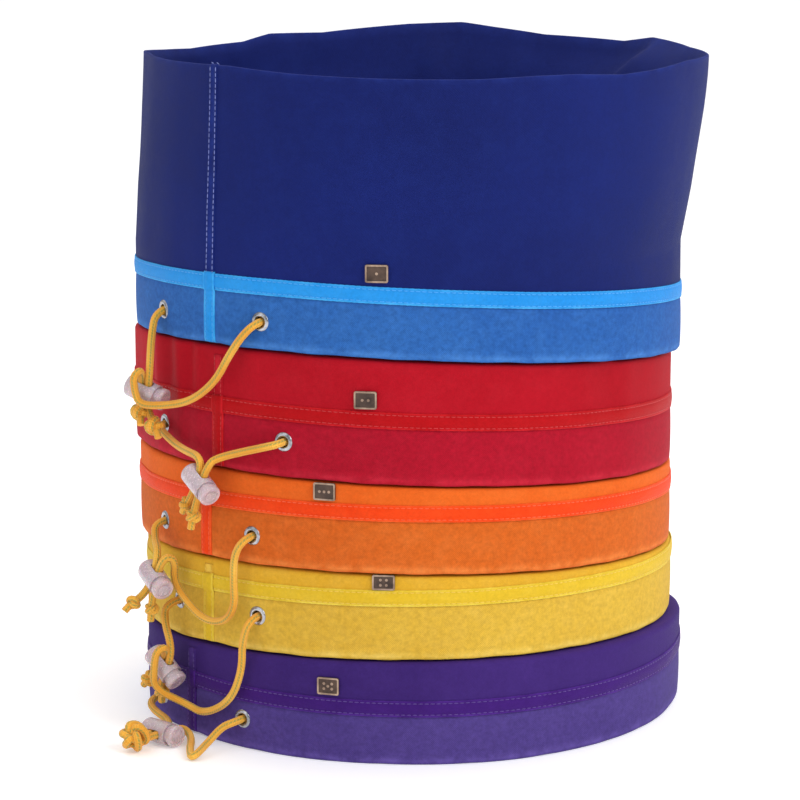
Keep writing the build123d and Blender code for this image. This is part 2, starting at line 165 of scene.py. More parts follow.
def lock_axes(colour):
    """The lock's centre, and its directions across, out and along, as CAD has them."""
    azimuth, radius, height, axis, through = BAGS[colour]["lock"]
    along = Vector(axis).normalized()
    across = (Vector(through) - along * along.dot(Vector(through))).normalized()
    return Vector(polar(azimuth, radius, height)), across, along.cross(across), along


def spot(colour, point):
    """The place of a route's point."""
    if isinstance(point, Skin):
        return Vector(polar(*point))
    centre, u, v, w = lock_axes(colour)
    return centre + u * point.across + v * point.out + w * point.along


# ---- the drawcords' routes: each free strand from its eyelet to the knot at its end ----

# a route's point is on the bag's skin, or in the lock's frame; each knot is a point and a size
Skin = namedtuple("Skin", "azimuth radius height")
Lock = namedtuple("Lock", "along across out")

STRANDS = {
    "blue": {
        "left": [
            Skin(-60.0, 0.1488, 0.2334), Skin(-60.0, 0.1575, 0.2332), Skin(-60.4, 0.1600, 0.2190),
            Lock(HALF - LEAD_IN, PASS_IN, 0), Lock(HALF - LEAD_IN, 0.0035, 0),
            Lock(HALF - LEAD_IN, PASS_OUT, 0),
        ],
        "right": [
            Skin(-30.7, 0.1488, 0.2365), Skin(-30.7, 0.1580, 0.2363), Skin(-33.5, 0.1590, 0.2290),
            Skin(-37.0, 0.1580, 0.2170), Skin(-40.5, 0.1580, 0.2020), Skin(-46.5, 0.1600, 0.1895),
            Skin(-52.0, 0.1660, 0.1855), Lock(0.0030, 0.0020, -0.0098), Lock(-0.0015, -0.0060, -0.0088),
            Lock(-0.0034, PASS_IN, -0.0078), Lock(-HALF, PASS_IN, 0), Lock(-HALF, PASS_OUT, 0),
        ],
        "knots": [(Skin(-56.0, 0.1655, 0.1725), 0.0052), (Skin(-59.8, 0.1680, 0.1785), 0.0052)],
    },
    "red": {
        "left": [
            Skin(-61.8, 0.1468, 0.1693), Skin(-61.8, 0.1550, 0.1692), Skin(-57.5, 0.1565, 0.1655),
            Skin(-50.5, 0.1585, 0.1615), Lock(-HALF, PASS_IN, 0), Lock(-HALF, PASS_OUT, 0),
        ],
        "right": [
            Skin(-26.0, 0.1468, 0.1730), Skin(-26.0, 0.1565, 0.1728), Skin(-29.0, 0.1575, 0.1705),
            Skin(-34.0, 0.1580, 0.1665), Skin(-38.5, 0.1600, 0.1625), Lock(HALF - LEAD_IN, PASS_IN, 0),
            Lock(HALF, PASS_OUT, 0),
        ],
        "knots": [
            (Lock(-HALF - 0.0032, 0.0180, 0.0005), 0.0040),
            (Lock(HALF + 0.0020, 0.0190, -0.0005), 0.0040),
        ],
    },
    "orange": {
        "left": [
            Skin(-62.7, 0.1463, 0.1145), Skin(-62.7, 0.1565, 0.1143), Skin(-61.4, 0.1585, 0.1055),
            Lock(-HALF, PASS_IN, 0), Lock(-HALF, PASS_OUT, 0),
        ],
        "right": [
            Skin(-33.8, 0.1463, 0.1195), Skin(-33.8, 0.1570, 0.1193), Skin(-36.5, 0.1565, 0.1100),
            Skin(-37.0, 0.1560, 0.0950), Skin(-36.6, 0.1560, 0.0805), Skin(-39.5, 0.1555, 0.0705),
            Skin(-45.0, 0.1555, 0.0685), Skin(-49.8, 0.1565, 0.0755), Lock(0.0045, 0.0, 0.0095),
            Lock(HALF, PASS_IN, 0.0079), Lock(HALF - LEAD_IN, PASS_IN, 0), Lock(HALF, PASS_OUT, 0),
        ],
        "knots": [
            (Skin(-58.8, 0.1755, 0.0735), 0.0040),
            (Lock(HALF + 0.0015, 0.0175, 0.0005), 0.0038),
        ],
    },
    "yellow": {
        "left": [
            Skin(-57.4, 0.1448, 0.0725), Skin(-57.4, 0.1565, 0.0723), Skin(-58.0, 0.1585, 0.0625),
            Lock(HALF - LEAD_IN, PASS_IN, 0), Lock(HALF, PASS_OUT, 0),
        ],
        "right": [
            Skin(-33.0, 0.1448, 0.0753), Skin(-33.0, 0.1565, 0.0750), Skin(-34.8, 0.1565, 0.0620),
            Skin(-35.0, 0.1560, 0.0460), Skin(-38.0, 0.1560, 0.0270), Skin(-45.5, 0.1560, 0.0155),
            Skin(-50.0, 0.1585, 0.0195), Lock(0.0075, 0.0070, -0.0100), Lock(0.0010, -0.0045, -0.0096),
            Lock(-0.0034, PASS_IN, -0.0078), Lock(-HALF, PASS_IN, 0), Lock(-HALF, PASS_OUT, 0),
        ],
        "knots": [
            (Lock(HALF + 0.0034, 0.0170, 0.0005), 0.0040),
            (Lock(-HALF - 0.0022, 0.0180, -0.0005), 0.0042),
        ],
    },
    "purple": {
        "left": [
            Skin(-64.5, 0.1463, 0.0138), Skin(-64.5, 0.1560, 0.0136), Skin(-62.0, 0.1630, 0.0100),
            Lock(-HALF, PASS_IN, 0), Lock(-HALF, PASS_OUT, 0),
        ],
        "right": [
            Skin(-36.7, 0.1463, 0.0166), Skin(-36.7, 0.1565, 0.0164), Skin(-39.2, 0.1595, 0.0130),
            Skin(-40.0, 0.1680, 0.0060), Skin(-38.0, 0.1885, 0.0024), Skin(-42.6, 0.1745, 0.0026),
            Lock(0.0175, -0.0060, 0.0035), Lock(0.0100, -0.0125, 0.0020), Lock(HALF - LEAD_IN, PASS_IN, 0),
            Lock(HALF, PASS_OUT, 0),
        ],
        "knots": [(Lock(0.0, 0.01975, -0.0022), None)],  # both ends share it
    },
}


# ---- mesh helpers ----


def build(name, points, faces, material, uvs=None):
    """A smooth mesh object from its vertices and faces, with a UV for each corner of each face."""
    mesh = bpy.data.meshes.new(name)
    mesh.from_pydata(np.asarray(points, float).tolist(), [], faces)
    if uvs is not None:
        mesh.uv_layers.new(name="cloth").data.foreach_set("uv", uvs.astype(np.float32).ravel())
    mesh.shade_smooth()
    mesh.update()
    mesh.materials.append(material)
    piece = bpy.data.objects.new(name, mesh)
    scene.collection.objects.link(piece)
    return piece


def grid_faces(rows, columns, closed):
    """Quads of a grid of rows by columns, joined round if closed."""
    row = np.arange(rows - 1)[:, None] * columns
    first = np.arange(columns if closed else columns - 1)[None, :]
    second = (first + 1) % columns
    quads = np.stack([row + first, row + second, row + columns + second, row + columns + first], -1)
    return quads.reshape(-1, 4)


def grid(name, points, across, along, closed, material, flip=False):
    """A grid mesh; points is rows x columns x 3, and across and along are its flat cloth measures."""
    rows, columns = points.shape[:2]
    faces = grid_faces(rows, columns, closed)
    wrapped = columns if closed else columns - 1
    u = np.append(across, across[-1] + (across[-1] - across[-2])) if closed else across
    i, j = np.divmod(np.arange((rows - 1) * wrapped), wrapped)
    u0, u1 = u[j], u[j + 1]
    v00, v10 = along[i, j], along[i + 1, j]
    k = (j + 1) % columns
    v01, v11 = along[i, k], along[i + 1, k]
    corners = ((u0, v00), (u1, v01), (u1, v11), (u0, v10))
    uvs = np.stack([np.stack(corner, -1) for corner in corners], 1)
    if flip:
        faces, uvs = faces[:, ::-1], uvs[:, ::-1]
    return build(name, points.reshape(-1, 3), faces.tolist(), material, uvs.reshape(-1, 2))


NURBS_STEPS = 24


def nurbs_line(points, closed=False):
    """The points of the quadratic NURBS spline that has these control points."""
    curve = bpy.data.curves.new("route", "CURVE")
    curve.dimensions = "3D"
    curve.resolution_u = NURBS_STEPS
    spline = curve.splines.new("NURBS")
    spline.points.add(len(points) - 1)
    for control, point in zip(spline.points, points):
        control.co = (*point, 1)
    spline.order_u = 3
    spline.use_endpoint_u = not closed
    spline.use_cyclic_u = closed
    holder = bpy.data.objects.new("route", curve)
    mesh = bpy.data.meshes.new_from_object(holder)
    line = np.array([v.co for v in mesh.vertices], float)
    bpy.data.objects.remove(holder)
    bpy.data.meshes.remove(mesh)
    bpy.data.curves.remove(curve)
    return line


def even(line, step, closed):
    """The line's points at even distances along it."""
    if closed:
        line = np.vstack([line, line[:1]])
    gone = np.concatenate([[0], np.cumsum(np.linalg.norm(np.diff(line, axis=0), axis=1))])
    count = max(8, int(gone[-1] / step)) + 1
    at = np.linspace(0, gone[-1], count)
    out = np.stack([np.interp(at, gone, line[:, k]) for k in range(3)], -1)
    return out[:-1] if closed else out


BRAID_RELIEF = 0.00016
BRAID_STEP = 0.00055
BRAID_SIDES = 20
CARRIERS = 5
LAY_LENGTH = 0.0085


def wound(points, closed=False, step=BRAID_STEP):
    """Even points along the curve that has these control points."""
    return even(nurbs_line(points, closed), step, closed)


def braided(name, line, radius, material, closed=False, relief=BRAID_RELIEF):
    """A braided tube along a line, with the carriers' diamond relief. Its UV is (turn, metres along)."""
    ahead = np.roll(line, -1, 0) - np.roll(line, 1, 0)
    if not closed:
        ahead[0], ahead[-1] = line[1] - line[0], line[-1] - line[-2]
    ahead /= np.linalg.norm(ahead, axis=1)[:, None]
    side = np.zeros_like(line)
    side[0] = Vector(ahead[0]).orthogonal().normalized()
    for i in range(1, len(line)):
        turned = side[i - 1] - ahead[i] * (side[i - 1] @ ahead[i])
        side[i] = turned / np.linalg.norm(turned)
    other = np.cross(ahead, side)
    if closed:  # spread the mismatch at the join over the loop
        gap = np.arctan2(side[-1] @ other[0], side[-1] @ side[0])
        twist = -gap * np.arange(len(line)) / len(line)
        side, other = (
            side * np.cos(twist)[:, None] + other * np.sin(twist)[:, None],
            other * np.cos(twist)[:, None] - side * np.sin(twist)[:, None],
        )
    gone = np.concatenate([[0], np.cumsum(np.linalg.norm(np.diff(line, axis=0), axis=1))])
    turn = np.arange(BRAID_SIDES) * tau / BRAID_SIDES
    wind = gone[:, None] * tau * CARRIERS / LAY_LENGTH
    bumps = np.cos(CARRIERS * turn + wind) * np.cos(CARRIERS * turn - wind)
    r = radius - relief / 2 + relief * bumps
    ring = side[:, None] * np.cos(turn)[:, None] + other[:, None] * np.sin(turn)[:, None]
    points = line[:, None] + ring * r[..., None]
    along = np.repeat(gone[:, None], BRAID_SIDES, 1)
    if closed:
        points = np.concatenate([points, points[:1]])
        along = np.concatenate([along, along[:1] * 0 + gone[-1] + BRAID_STEP])
    piece = grid(name, points, turn / tau, along, True, material)
    if not closed:
        made = bmesh.new()
        made.from_mesh(piece.data)
        made.verts.ensure_lookup_table()
        last = (len(line) - 1) * BRAID_SIDES
        for end in (range(BRAID_SIDES)[::-1], range(last, last + BRAID_SIDES)):
            made.faces.new([made.verts[k] for k in end])
        made.to_mesh(piece.data)
        made.free()
    return piece


# ---- materials ----

WORN_GAIN = 1.5  # how much lighter worn cloth is than its pale tone
FILAMENT_PITCH = 0.0011


class Shader:
    """A small helper for node materials: add() makes a node, its inputs given as values or as sockets."""

    def __init__(self, name):
        self.material = bpy.data.materials.new(name)
        self.material.use_nodes = True
        self.tree = self.material.node_tree
        self.bsdf = self.tree.nodes["Principled BSDF"]

    def feed(self, node, inputs):
        for key, value in inputs.items():
            if isinstance(value, bpy.types.NodeSocket):
                self.tree.links.new(value, node.inputs[key])
            else:
                node.inputs[key].default_value = value

    def add(self, kind, output=0, inputs=None, **settings):
        node = self.tree.nodes.new("ShaderNode" + kind)
        for key, value in settings.items():
            setattr(node, key, value)
        self.feed(node, inputs or {})
        return node.outputs[output]

    def math(self, operation, a, b=0.0, c=0.0):
        return self.add("Math", 0, {0: a, 1: b, 2: c}, operation=operation)

    def times(self, a, b):
        return self.math("MULTIPLY", a, b)

    def ramp(self, value, low, high):
        return self.add("MapRange", 0, {0: value, 1: low, 2: high, 3: 0.0, 4: 1.0})

    def mix(self, share, a, b, blend="MIX"):
        node = self.tree.nodes.new("ShaderNodeMix")
        node.data_type, node.blend_type = "RGBA", blend
        self.feed(node, {0: share, 6: a, 7: b})
        return node.outputs[2]

    def noise(self, vector, scale, detail, **inputs):
        return self.add("TexNoise", 0, {"Vector": vector, "Scale": scale, "Detail": detail, **inputs})

    def stretched(self, vector, *scale):
        return self.add("Mapping", 0, {"Vector": vector, "Scale": scale})

    def bump(self, height, strength, distance, **inputs):
        return self.add("Bump", 0, {"Height": height, "Strength": strength, "Distance": distance, **inputs})

    def place(self):
        return self.add("TexCoord", 3)

    def cloth_uv(self):
        """The flat cloth's measures: as a vector, across and along."""
        uv = self.add("UVMap", 0, uv_map="cloth")
        split = self.tree.nodes.new("ShaderNodeSeparateXYZ")
        self.feed(split, {0: uv})
        return uv, split.outputs[0], split.outputs[1]

    def finish(self, **inputs):
        self.feed(self.bsdf, {key.replace("_", " "): value for key, value in inputs.items()})
        return self.material


def linear(code, gain=1.0):
    """Linear colour from an sRGB hex code."""
    parts = [int(code[i:i + 2], 16) / 255 for i in (0, 2, 4)]
    flat = [p / 12.92 if p <= 0.04045 else ((p + 0.055) / 1.055) ** 2.4 for p in parts]
    return tuple(min(1.0, p * gain) for p in flat) + (1.0,)


def cloth(name, deep, base, pale, pitch=0.00085, rough=0.72, sheen=0.02, fleck=0.10):
    """Plain-woven cloth: threads both ways, slubs, cloudy dye, and paler wear where "wear" says."""
    s = Shader(name)
    uv, across, along = s.cloth_uv()
    wobble = s.noise(uv, 260.0, 2.0)
    warp = s.math("MULTIPLY_ADD", across, tau / pitch, s.times(wobble, 2.2))
    weft = s.math("MULTIPLY_ADD", along, tau / pitch, s.times(wobble, 1.7))
    threads = s.times(s.math("SINE", warp), s.math("SINE", weft))
    place = s.place()
    clouds = s.noise(place, 7.0, 3.0, Roughness=0.55)
    mottle = s.noise(place, 95.0, 4.0, Roughness=0.65)
    grain = s.noise(uv, 700.0, 2.0, Roughness=0.6)
    tone = s.mix(s.ramp(clouds, 0.32, 0.68), linear(deep), linear(base))
    tone = s.mix(s.times(s.ramp(mottle, 0.42, 0.75), 0.16), tone, linear(pale))
    dust = s.noise(uv, 330.0, 3.0, Roughness=0.7)
    dust = s.math("MULTIPLY_ADD", s.ramp(dust, 0.35, 0.65), fleck, 1.0 - fleck / 2)
    speck = s.math("MULTIPLY_ADD", s.math("ADD", threads, s.times(grain, 2.0)), 0.09, 0.91)
    speck = s.times(speck, dust)
    tone = s.mix(1.0, tone, s.add("CombineColor", 0, {0: speck, 1: speck, 2: speck}), "MULTIPLY")
    worn = s.times(s.add("Attribute", 2, attribute_name="wear"), s.ramp(mottle, 0.3, 0.62))
    tone = s.mix(worn, tone, linear(pale, WORN_GAIN))
    weave = s.bump(s.math("ADD", threads, s.times(grain, 1.2)), 0.55, 0.00010)
    return s.finish(
        Base_Color=tone, Roughness=s.math("MULTIPLY_ADD", mottle, 0.25, rough - 0.12), Sheen_Weight=sheen,
        Sheen_Roughness=0.4, Specular_IOR_Level=0.08, Normal=s.bump(mottle, 0.5, 0.00028, Normal=weave),
    )


def thread(name, base, pale):
    """Sewing thread: a fine two-ply twist."""
    s = Shader(name)
    fuzz = s.noise(s.place(), 1800.0, 2.0)
    tone = s.mix(fuzz, linear(base), linear(pale))
    return s.finish(Base_Color=tone, Roughness=0.55, Sheen_Weight=0.2, Normal=s.bump(fuzz, 0.5, 0.0001))


def cord_yarn():
    """Braided cord: golden carriers with a dashed olive fleck, fine filaments in each, and painted shade in
    the valleys between the carriers.
    """
    s = Shader("braided_cord")
    uv, round_it, along = s.cloth_uv()
    rise = s.times(along, 1.0 / LAY_LENGTH)
    left = s.times(s.times(s.math("ADD", round_it, rise), float(CARRIERS)), tau)
    right = s.times(s.times(s.math("SUBTRACT", round_it, rise), float(CARRIERS)), tau)
    ridges = s.times(s.math("COSINE", left), s.math("COSINE", right))
    line = s.math("ABSOLUTE", s.math("SUBTRACT", s.math("FRACT", s.times(round_it, 3.0)), 0.5))
    fleck = s.times(s.ramp(line, 0.17, 0.07), s.ramp(s.math("SINE", left), -1.3, 0.1))
    fibre = s.noise(s.stretched(uv, 14.0, 900.0, 1.0), 3.0, 3.0)
    clouds = s.noise(s.place(), 45.0, 2.0)
    tone = s.mix(s.ramp(clouds, 0.3, 0.7), linear("f0b034"), linear("fcd05c"))
    # painted shade: a darkened copy of the cord's tone, laid into the valleys between the braid's carriers
    # where the ridges are low
    low = s.mix(1.0, tone, linear("ecd4a4"), "MULTIPLY")
    tone = s.mix(s.times(s.ramp(ridges, -0.6, 0.9), 0.6), low, tone)
    tone = s.mix(s.times(fleck, 0.85), tone, linear("8c9048"))
    tone = s.mix(s.times(s.ramp(fibre, 0.55, 0.8), 0.5), tone, linear("f4cf72"))
    return s.finish(
        Base_Color=tone, Roughness=0.62, Sheen_Weight=0.25, Sheen_Roughness=0.4, Specular_IOR_Level=0.3,
        Normal=s.bump(fibre, 0.5, 0.00012, Normal=s.bump(ridges, 0.8, 0.00025)),
    )


def milky_plastic():
    """Translucent moulded plastic with faint flow marks and handling scratches."""
    s = Shader("milky_plastic")
    place = s.place()
    flow = s.noise(place, 110.0, 3.0, Distortion=1.2)
    scratch = s.noise(s.stretched(place, 1.0, 6.0, 0.5), 700.0, 3.0)
    return s.finish(
        Base_Color=s.mix(s.ramp(flow, 0.2, 0.8), linear("dcc4cc"), linear("eedde2")),
        Roughness=s.math("MULTIPLY_ADD", scratch, 0.25, 0.12), Transmission_Weight=0.45, IOR=1.49,
        Subsurface_Weight=0.35, Subsurface_Scale=0.004, Coat_Weight=0.3, Coat_Roughness=0.15,
        Normal=s.bump(flow, 0.15, 0.0002),
    )


def metal(name, bright, dull, rough, scale, relief, metallic=1.0):
    """Plated or cast metal: dull patches and fine scratches."""
    s = Shader(name)
    place = s.place()
    patch = s.noise(place, scale, 4.0, Roughness=0.6)
    fine = s.noise(s.stretched(place, 1.0, 1.0, 9.0), scale * 6, 3.0)
    return s.finish(
        Base_Color=s.mix(s.ramp(patch, 0.35, 0.65), linear(dull), linear(bright)), Metallic=metallic,
        Roughness=s.math("MULTIPLY_ADD", patch, 0.3, rough), Normal=s.bump(fine, 0.4, relief),
    )


def screen_weave():
    """Fine filter mesh: a square grid of filaments, with painted shade in the gaps between them."""
    s = Shader("filter_mesh")
    _, across, along = s.cloth_uv()
    lines = [s.ramp(s.math("SINE", s.times(way, tau / FILAMENT_PITCH)), 0.1, 0.6) for way in (across, along)]
    web = s.math("MAXIMUM", *lines)
    fibre = s.mix(s.ramp(s.noise(s.place(), 25.0, 3.0), 0.3, 0.7), linear("c9c8c0"), linear("e2e1da"))
    # painted shade: the gaps between filaments are coloured dark grey, for the dark seen through the mesh
    tone = s.mix(s.math("SUBTRACT", 1.0, web), fibre, linear("3c3d44"))
    return s.finish(Base_Color=tone, Roughness=0.5, Sheen_Weight=0.1, Normal=s.bump(web, 0.9, 0.00025))


# each bag's deep, base and pale tones of cloth, hem and tape, its thread's two, and how flecked its hem is
DYES = {
    "blue": {
        "cloth": ("0f1a56", "121f64", "22337c"), "hem": ("24549a", "2c60a5", "4b7fbe"), "fleck": 0.30,
        "tape": ("1c84d2", "248fdc", "54aeee"), "thread": ("2a8cd8", "4aa6ea"),
    },
    "red": {
        "cloth": ("9e0a19", "af0e21", "c02c38"), "hem": ("990c22", "a60f26", "b82a3c"), "fleck": 0.22,
        "tape": ("a4050d", "b0060f", "c8242c"), "thread": ("ae0a14", "c42a30"),
    },
    "orange": {
        "cloth": ("d35818", "dd631e", "e8823f"), "hem": ("c0561a", "c8601e", "dc8446"), "fleck": 0.22,
        "tape": ("de3a0a", "e8420d", "f46a34"), "thread": ("e2420e", "f0642c"),
    },
    "yellow": {
        "cloth": ("cc9a28", "d6a52c", "e6bf60"), "hem": ("c59b32", "cea83b", "e0c068"), "fleck": 0.20,
        "tape": ("d0a924", "dab62a", "ecd060"), "thread": ("d6b22c", "eacc58"),
    },
    "purple": {
        "cloth": ("321c5f", "3d256e", "523a88"), "hem": ("433374", "4b3b7e", "66549c"), "fleck": 0.24,
        "tape": ("341262", "3d1870", "553090"), "thread": ("3e1e70", "583a92"),
    },
}
CLOTH, HEM_CLOTH, TAPE, THREAD = {}, {}, {}, {}
for colour, dye in DYES.items():
    coated = {"rough": 0.66, "sheen": 0.03} if colour == "blue" else {}
    CLOTH[colour] = cloth(colour + "_cloth", *dye["cloth"], **coated)
    HEM_CLOTH[colour] = cloth(colour + "_hem_cloth", *dye["hem"], pitch=0.0011, fleck=dye["fleck"])
    TAPE[colour] = cloth(colour + "_tape", *dye["tape"], pitch=0.0006, rough=0.55, sheen=0.05)
    THREAD[colour] = thread(colour + "_thread", *dye["thread"])
SEAM_THREAD = thread("navy_seam_thread", "5a68ae", "8c98d0")
YARN = cord_yarn()
PLASTIC = milky_plastic()
CHROME = metal("chrome_plate", "bcbdc2", "74777e", 0.08, 240.0, 0.00003)
BRONZE = metal("aged_bronze", "5c4a40", "3c2f2a", 0.42, 160.0, 0.00008, 0.55)
RUBBED = metal("rubbed_bronze", "b39a86", "7d6758", 0.30, 160.0, 0.00005, 0.6)
STEEL = metal("spring_wire", "d0d0d0", "909090", 0.2, 300.0, 0.00003)
MESH = screen_weave()


# ---- the cloth's shape ----


def smooth(x):
    """0 below 0, 1 above 1, smooth between."""
    x = np.clip(x, 0, 1)
    return x * x * (3 - 2 * x)


def wrap(azimuth):
    """Azimuths from -180 to 180."""
    return (np.asarray(azimuth, float) + 180) % 360 - 180


# the top rim's corners: azimuth, and how far it stands above and outside the plain ring there
RIM = np.array([
    (-180, -0.0006, 0.0006), (-160, -0.0044, -0.0012), (-147, -0.0036, 0.0010), (-139, -0.0070, -0.0004),
    (-120, -0.0070, -0.0014), (-107, -0.0046, 0.0), (-92, -0.0012, 0.0016), (-80, 0.0006, -0.0010),
    (-62, 0.0010, -0.0012), (-39, 0.0030, 0.0002), (-24, 0.0012, -0.0004), (-7, 0.0004, 0.0),
    (13, 0.0, 0.0002), (24, 0.0008, -0.0006), (32, 0.0008, 0.0006), (44, -0.0016, -0.0010),
    (53, -0.0012, -0.0012), (67, 0.0002, -0.0012), (85, -0.0014, 0.0014), (102, -0.0022, -0.0016),
    (120, -0.0014, 0.0008), (129, -0.0056, 0.0002), (149, -0.0050, -0.0014), (161, -0.0018, 0.0002),
    (168, 0.0006, 0.0010), (180, -0.0006, 0.0006),
])

# upright folds of the top bag's inner wall: azimuth, depth, half-width in degrees
# they only go inwards, because the next bag's fold is close outside
INNER_FOLDS = [(-128, -0.0016, 4), (-152, -0.0012, 3), (174, -0.0022, 3.5), (154, -0.0018, 4)]

# the slanting tuck in that wall: its corners in azimuth at the top, degrees a metre down, and depth
TUCK_CORNERS = (92, 115, 118)
TUCK_SLANT = 350
TUCK_DEPTH = 0.0095

# soft upright folds on each bag's wall: azimuth, depth (+ outwards), half-width in degrees
FOLDS = {
    "blue": [
        (-72, 0.0006, 5), (-52, -0.0005, 4), (28, 0.0005, 12), (64, -0.0006, 9),
        (130, 0.0012, 8), (-140, 0.0010, 10), (175, -0.0010, 9),
    ],
    "red": [
        (-76, 0.0006, 3), (-69, -0.0010, 2.4), (-64.5, 0.0014, 2.0), (-59.5, -0.0018, 1.8),
        (-55.0, 0.0016, 1.7), (-51.5, -0.0016, 1.4), (-48.2, 0.0010, 1.2), (-38, -0.0008, 2.2),
        (-33, 0.0008, 3), (46, -0.0010, 5), (52, 0.0012, 4), (120, 0.0010, 7),
        (-130, 0.0009, 8), (170, -0.0008, 9),
    ],
    "orange": [
        (-72, 0.0006, 4), (-52, -0.0006, 3), (40, 0.0005, 9),
        (105, -0.0008, 8), (-120, 0.0009, 9), (160, 0.0008, 9),
    ],
    "yellow": [
        (-70, -0.0006, 3), (-50, 0.0006, 3), (-27, -0.0008, 2.2),
        (60, 0.0006, 10), (125, 0.0009, 9), (-150, -0.0009, 9),
    ],
    "purple": [
        (-70, 0.0005, 4), (-48, -0.0005, 2), (35, 0.0007, 12),
        (95, 0.0007, 9), (-110, 0.0009, 9), (150, -0.0009, 9),
    ],
}


LEAN_LIMIT = -0.0024  # further in, a wall would cut the bag inside it


def lean(colour, azimuth):
    """How far the wall stands out of its circle, as the real bag is off centre; none near the eyelets."""
    shift = BAGS[colour]["lean"]
    out = shift * np.sin(np.radians(azimuth))
    if colour == "blue":
        return out
    out = np.where(azimuth < 0, out * smooth((-azimuth - 74) / 16), out)
    return np.maximum(out, LEAN_LIMIT)


def relief(colour, azimuth, height):
    """Radial move of a bag's outer cloth: lean, upright folds and slow waves, calm round eyelets and tag."""
    a = wrap(azimuth)
    bag = BAGS[colour]
    seed = NEST.index(colour) * 1.7
    turn = np.radians(a)
    waves = 0.0004 * np.sin(4 * turn + seed + 22 * height)
    waves = waves + 0.0002 * np.sin(9 * turn - 2 * seed + 35 * height)
    waves = waves + 0.0001 * np.sin(17 * turn + 3 * seed - 50 * height)
    folds = sum(depth * np.exp(-((wrap(a - at) / width) ** 2)) for at, depth, width in FOLDS[colour])
    above = height - hem_height(colour, a) - bag["band"]
    folds = folds * (0.2 + 0.8 * smooth(above / 0.02))
    calm = np.ones_like(a)
    spots = [(az, z, 0.011) for az, z in bag["eyelets"]] + [(*bag["tag"], 0.013)]
    for az, z, reach in spots:
        far = np.hypot(np.radians(wrap(a - az)) * bag["radius"], height - z)
        calm = calm * smooth((far - 0.35 * reach) / reach)
    move = (waves + folds) * calm
    if colour == "blue":
        climb = np.clip((height - 0.262) / 0.104, 0, 1)
        share = 1 - (1 - climb) ** 1.4
        polygon = np.interp(a, RIM[:, 0], RIM[:, 2])
        return move * (1 - 0.6 * share) + lean(colour, a) * share + polygon * smooth((height - 0.30) / 0.06)
    return move + lean(colour, a)


def rim_rise(azimuth, height):
    """How far the top bag's cloth is raised near its rim."""
    return np.interp(wrap(azimuth), RIM[:, 0], RIM[:, 1]) * smooth((height - 0.325) / 0.041)


def well_radius(index, height):
    """The well's face, as CAD has it."""
    rs, zs = zip(*WELL)
    foot = BAGS[NEST[index]]["foot"]
    zs = (foot,) + zs[1:]
    return np.interp(height, zs, rs) + WELL_PITCH * index


def body_profile(colour, azimuth):
    """Rows of (radius, height) up the wall, over the fold and down the well, and the fold's row."""
    index, bag = NEST.index(colour), BAGS[colour]
    a = np.asarray(azimuth, float)
    radius, fold, foot = bag["radius"], bag["fold"], bag["foot"]
    low = hem_height(colour, a) + bag["band"] + CASING_OVER
    rows = []
    if index == 0:
        top = fold - LIP
        for t in np.linspace(0, 1, 54):
            z = low + (top - low) * t
            rs, zs = zip(*BLUE_WALL)
            rows.append((np.interp(z, zs, rs) + relief(colour, a, z), z))
        outer_r, inner_r = BLUE_WALL[-1][0], WELL[-1][0]
    else:
        ledge = hem_height(NEST[index - 1], a) - 0.0005
        top = ledge - 0.0034
        for t in np.linspace(0, 1, 14):
            z = low + (top - low) * t
            rows.append((radius + relief(colour, a, z), z))
        edge = relief(colour, a, top)
        nested = bag["nested"]
        for inward, down in ((0.0003, 0.0019), (0.0012, 0.0010), (0.0028, 0.0006)):
            rows.append((radius + edge * (1 - inward / 0.004) - inward, ledge - down))
        rows.append((nested + 0.0008 + 0 * a, ledge - 0.0004))
        rows.append((nested + 0 * a, ledge + 0.0008))
        for t in np.linspace(0, 1, 12)[1:]:
            z = ledge + 0.0008 + (fold - 0.0010 - ledge - 0.0008) * t
            rows.append((nested + 0 * a, z))
        outer_r, inner_r = nested, float(well_radius(index, fold - LIP))
    # the fold
    middle, half = (outer_r + inner_r) / 2, (outer_r - inner_r) / 2
    extra = relief(colour, a, 0 * a + fold) if index == 0 else 0 * a
    fold_row = len(rows) + 2
    for step in (30, 60, 90, 120, 150):
        turn = radians(step)
        rows.append((middle + half * cos(turn) + extra, 0 * a + fold - LIP + LIP * sin(turn)))
    for t in np.linspace(0, 1, 44)[1:]:
        z = fold - LIP - (fold - LIP - foot) * t
        r = well_radius(index, z) + 0 * a
        if index == 0:
            tuck = np.interp(wrap(a) - TUCK_SLANT * (fold - z), TUCK_CORNERS, [0, -1, 0]) * TUCK_DEPTH
            tuck = tuck * smooth((fold - z) / 0.012) * smooth((z - 0.300) / 0.03)
            inner = sum(deep * np.exp(-((wrap(a - at) / wide) ** 2)) for at, deep, wide in INNER_FOLDS)
            tuck = tuck + inner * smooth((0.365 - z) / 0.02)
            r = r + extra * smooth((z - 0.335) / 0.031) + tuck
        crease = 0.0006 * np.sin(7 * np.radians(a) + 0.8) + 0.0004 * np.sin(12 * np.radians(a))
        r = r + crease * smooth((z - foot) / 0.03) * (1 - smooth((z - 0.30) / 0.05)) * 0.5
        rows.append((r, 0 * a + z))
    if index == 0:
        rows = [(r, z + rim_rise(a, z)) for r, z in rows]
    return rows, fold_row


def place(rows, azimuth, out=0.0):
    """Points of profile rows at azimuths, moved out along the profile's normal, and the lengths along it."""
    azimuth = np.asarray(azimuth, float)
    r = np.array([row[0] + 0 * azimuth for row in rows])
    z = np.array([row[1] + 0 * azimuth for row in rows])
    dr, dz = np.gradient(r, axis=0), np.gradient(z, axis=0)
    size = np.hypot(dr, dz)
    r2, z2 = r + out * dz / size, z - out * dr / size
    turn = np.radians(azimuth)
    points = np.stack([r2 * np.sin(turn), -r2 * np.cos(turn), z2], -1)
    along = np.concatenate([0 * r[:1], np.cumsum(np.hypot(np.diff(r, axis=0), np.diff(z, axis=0)), 0)])
    return points, along


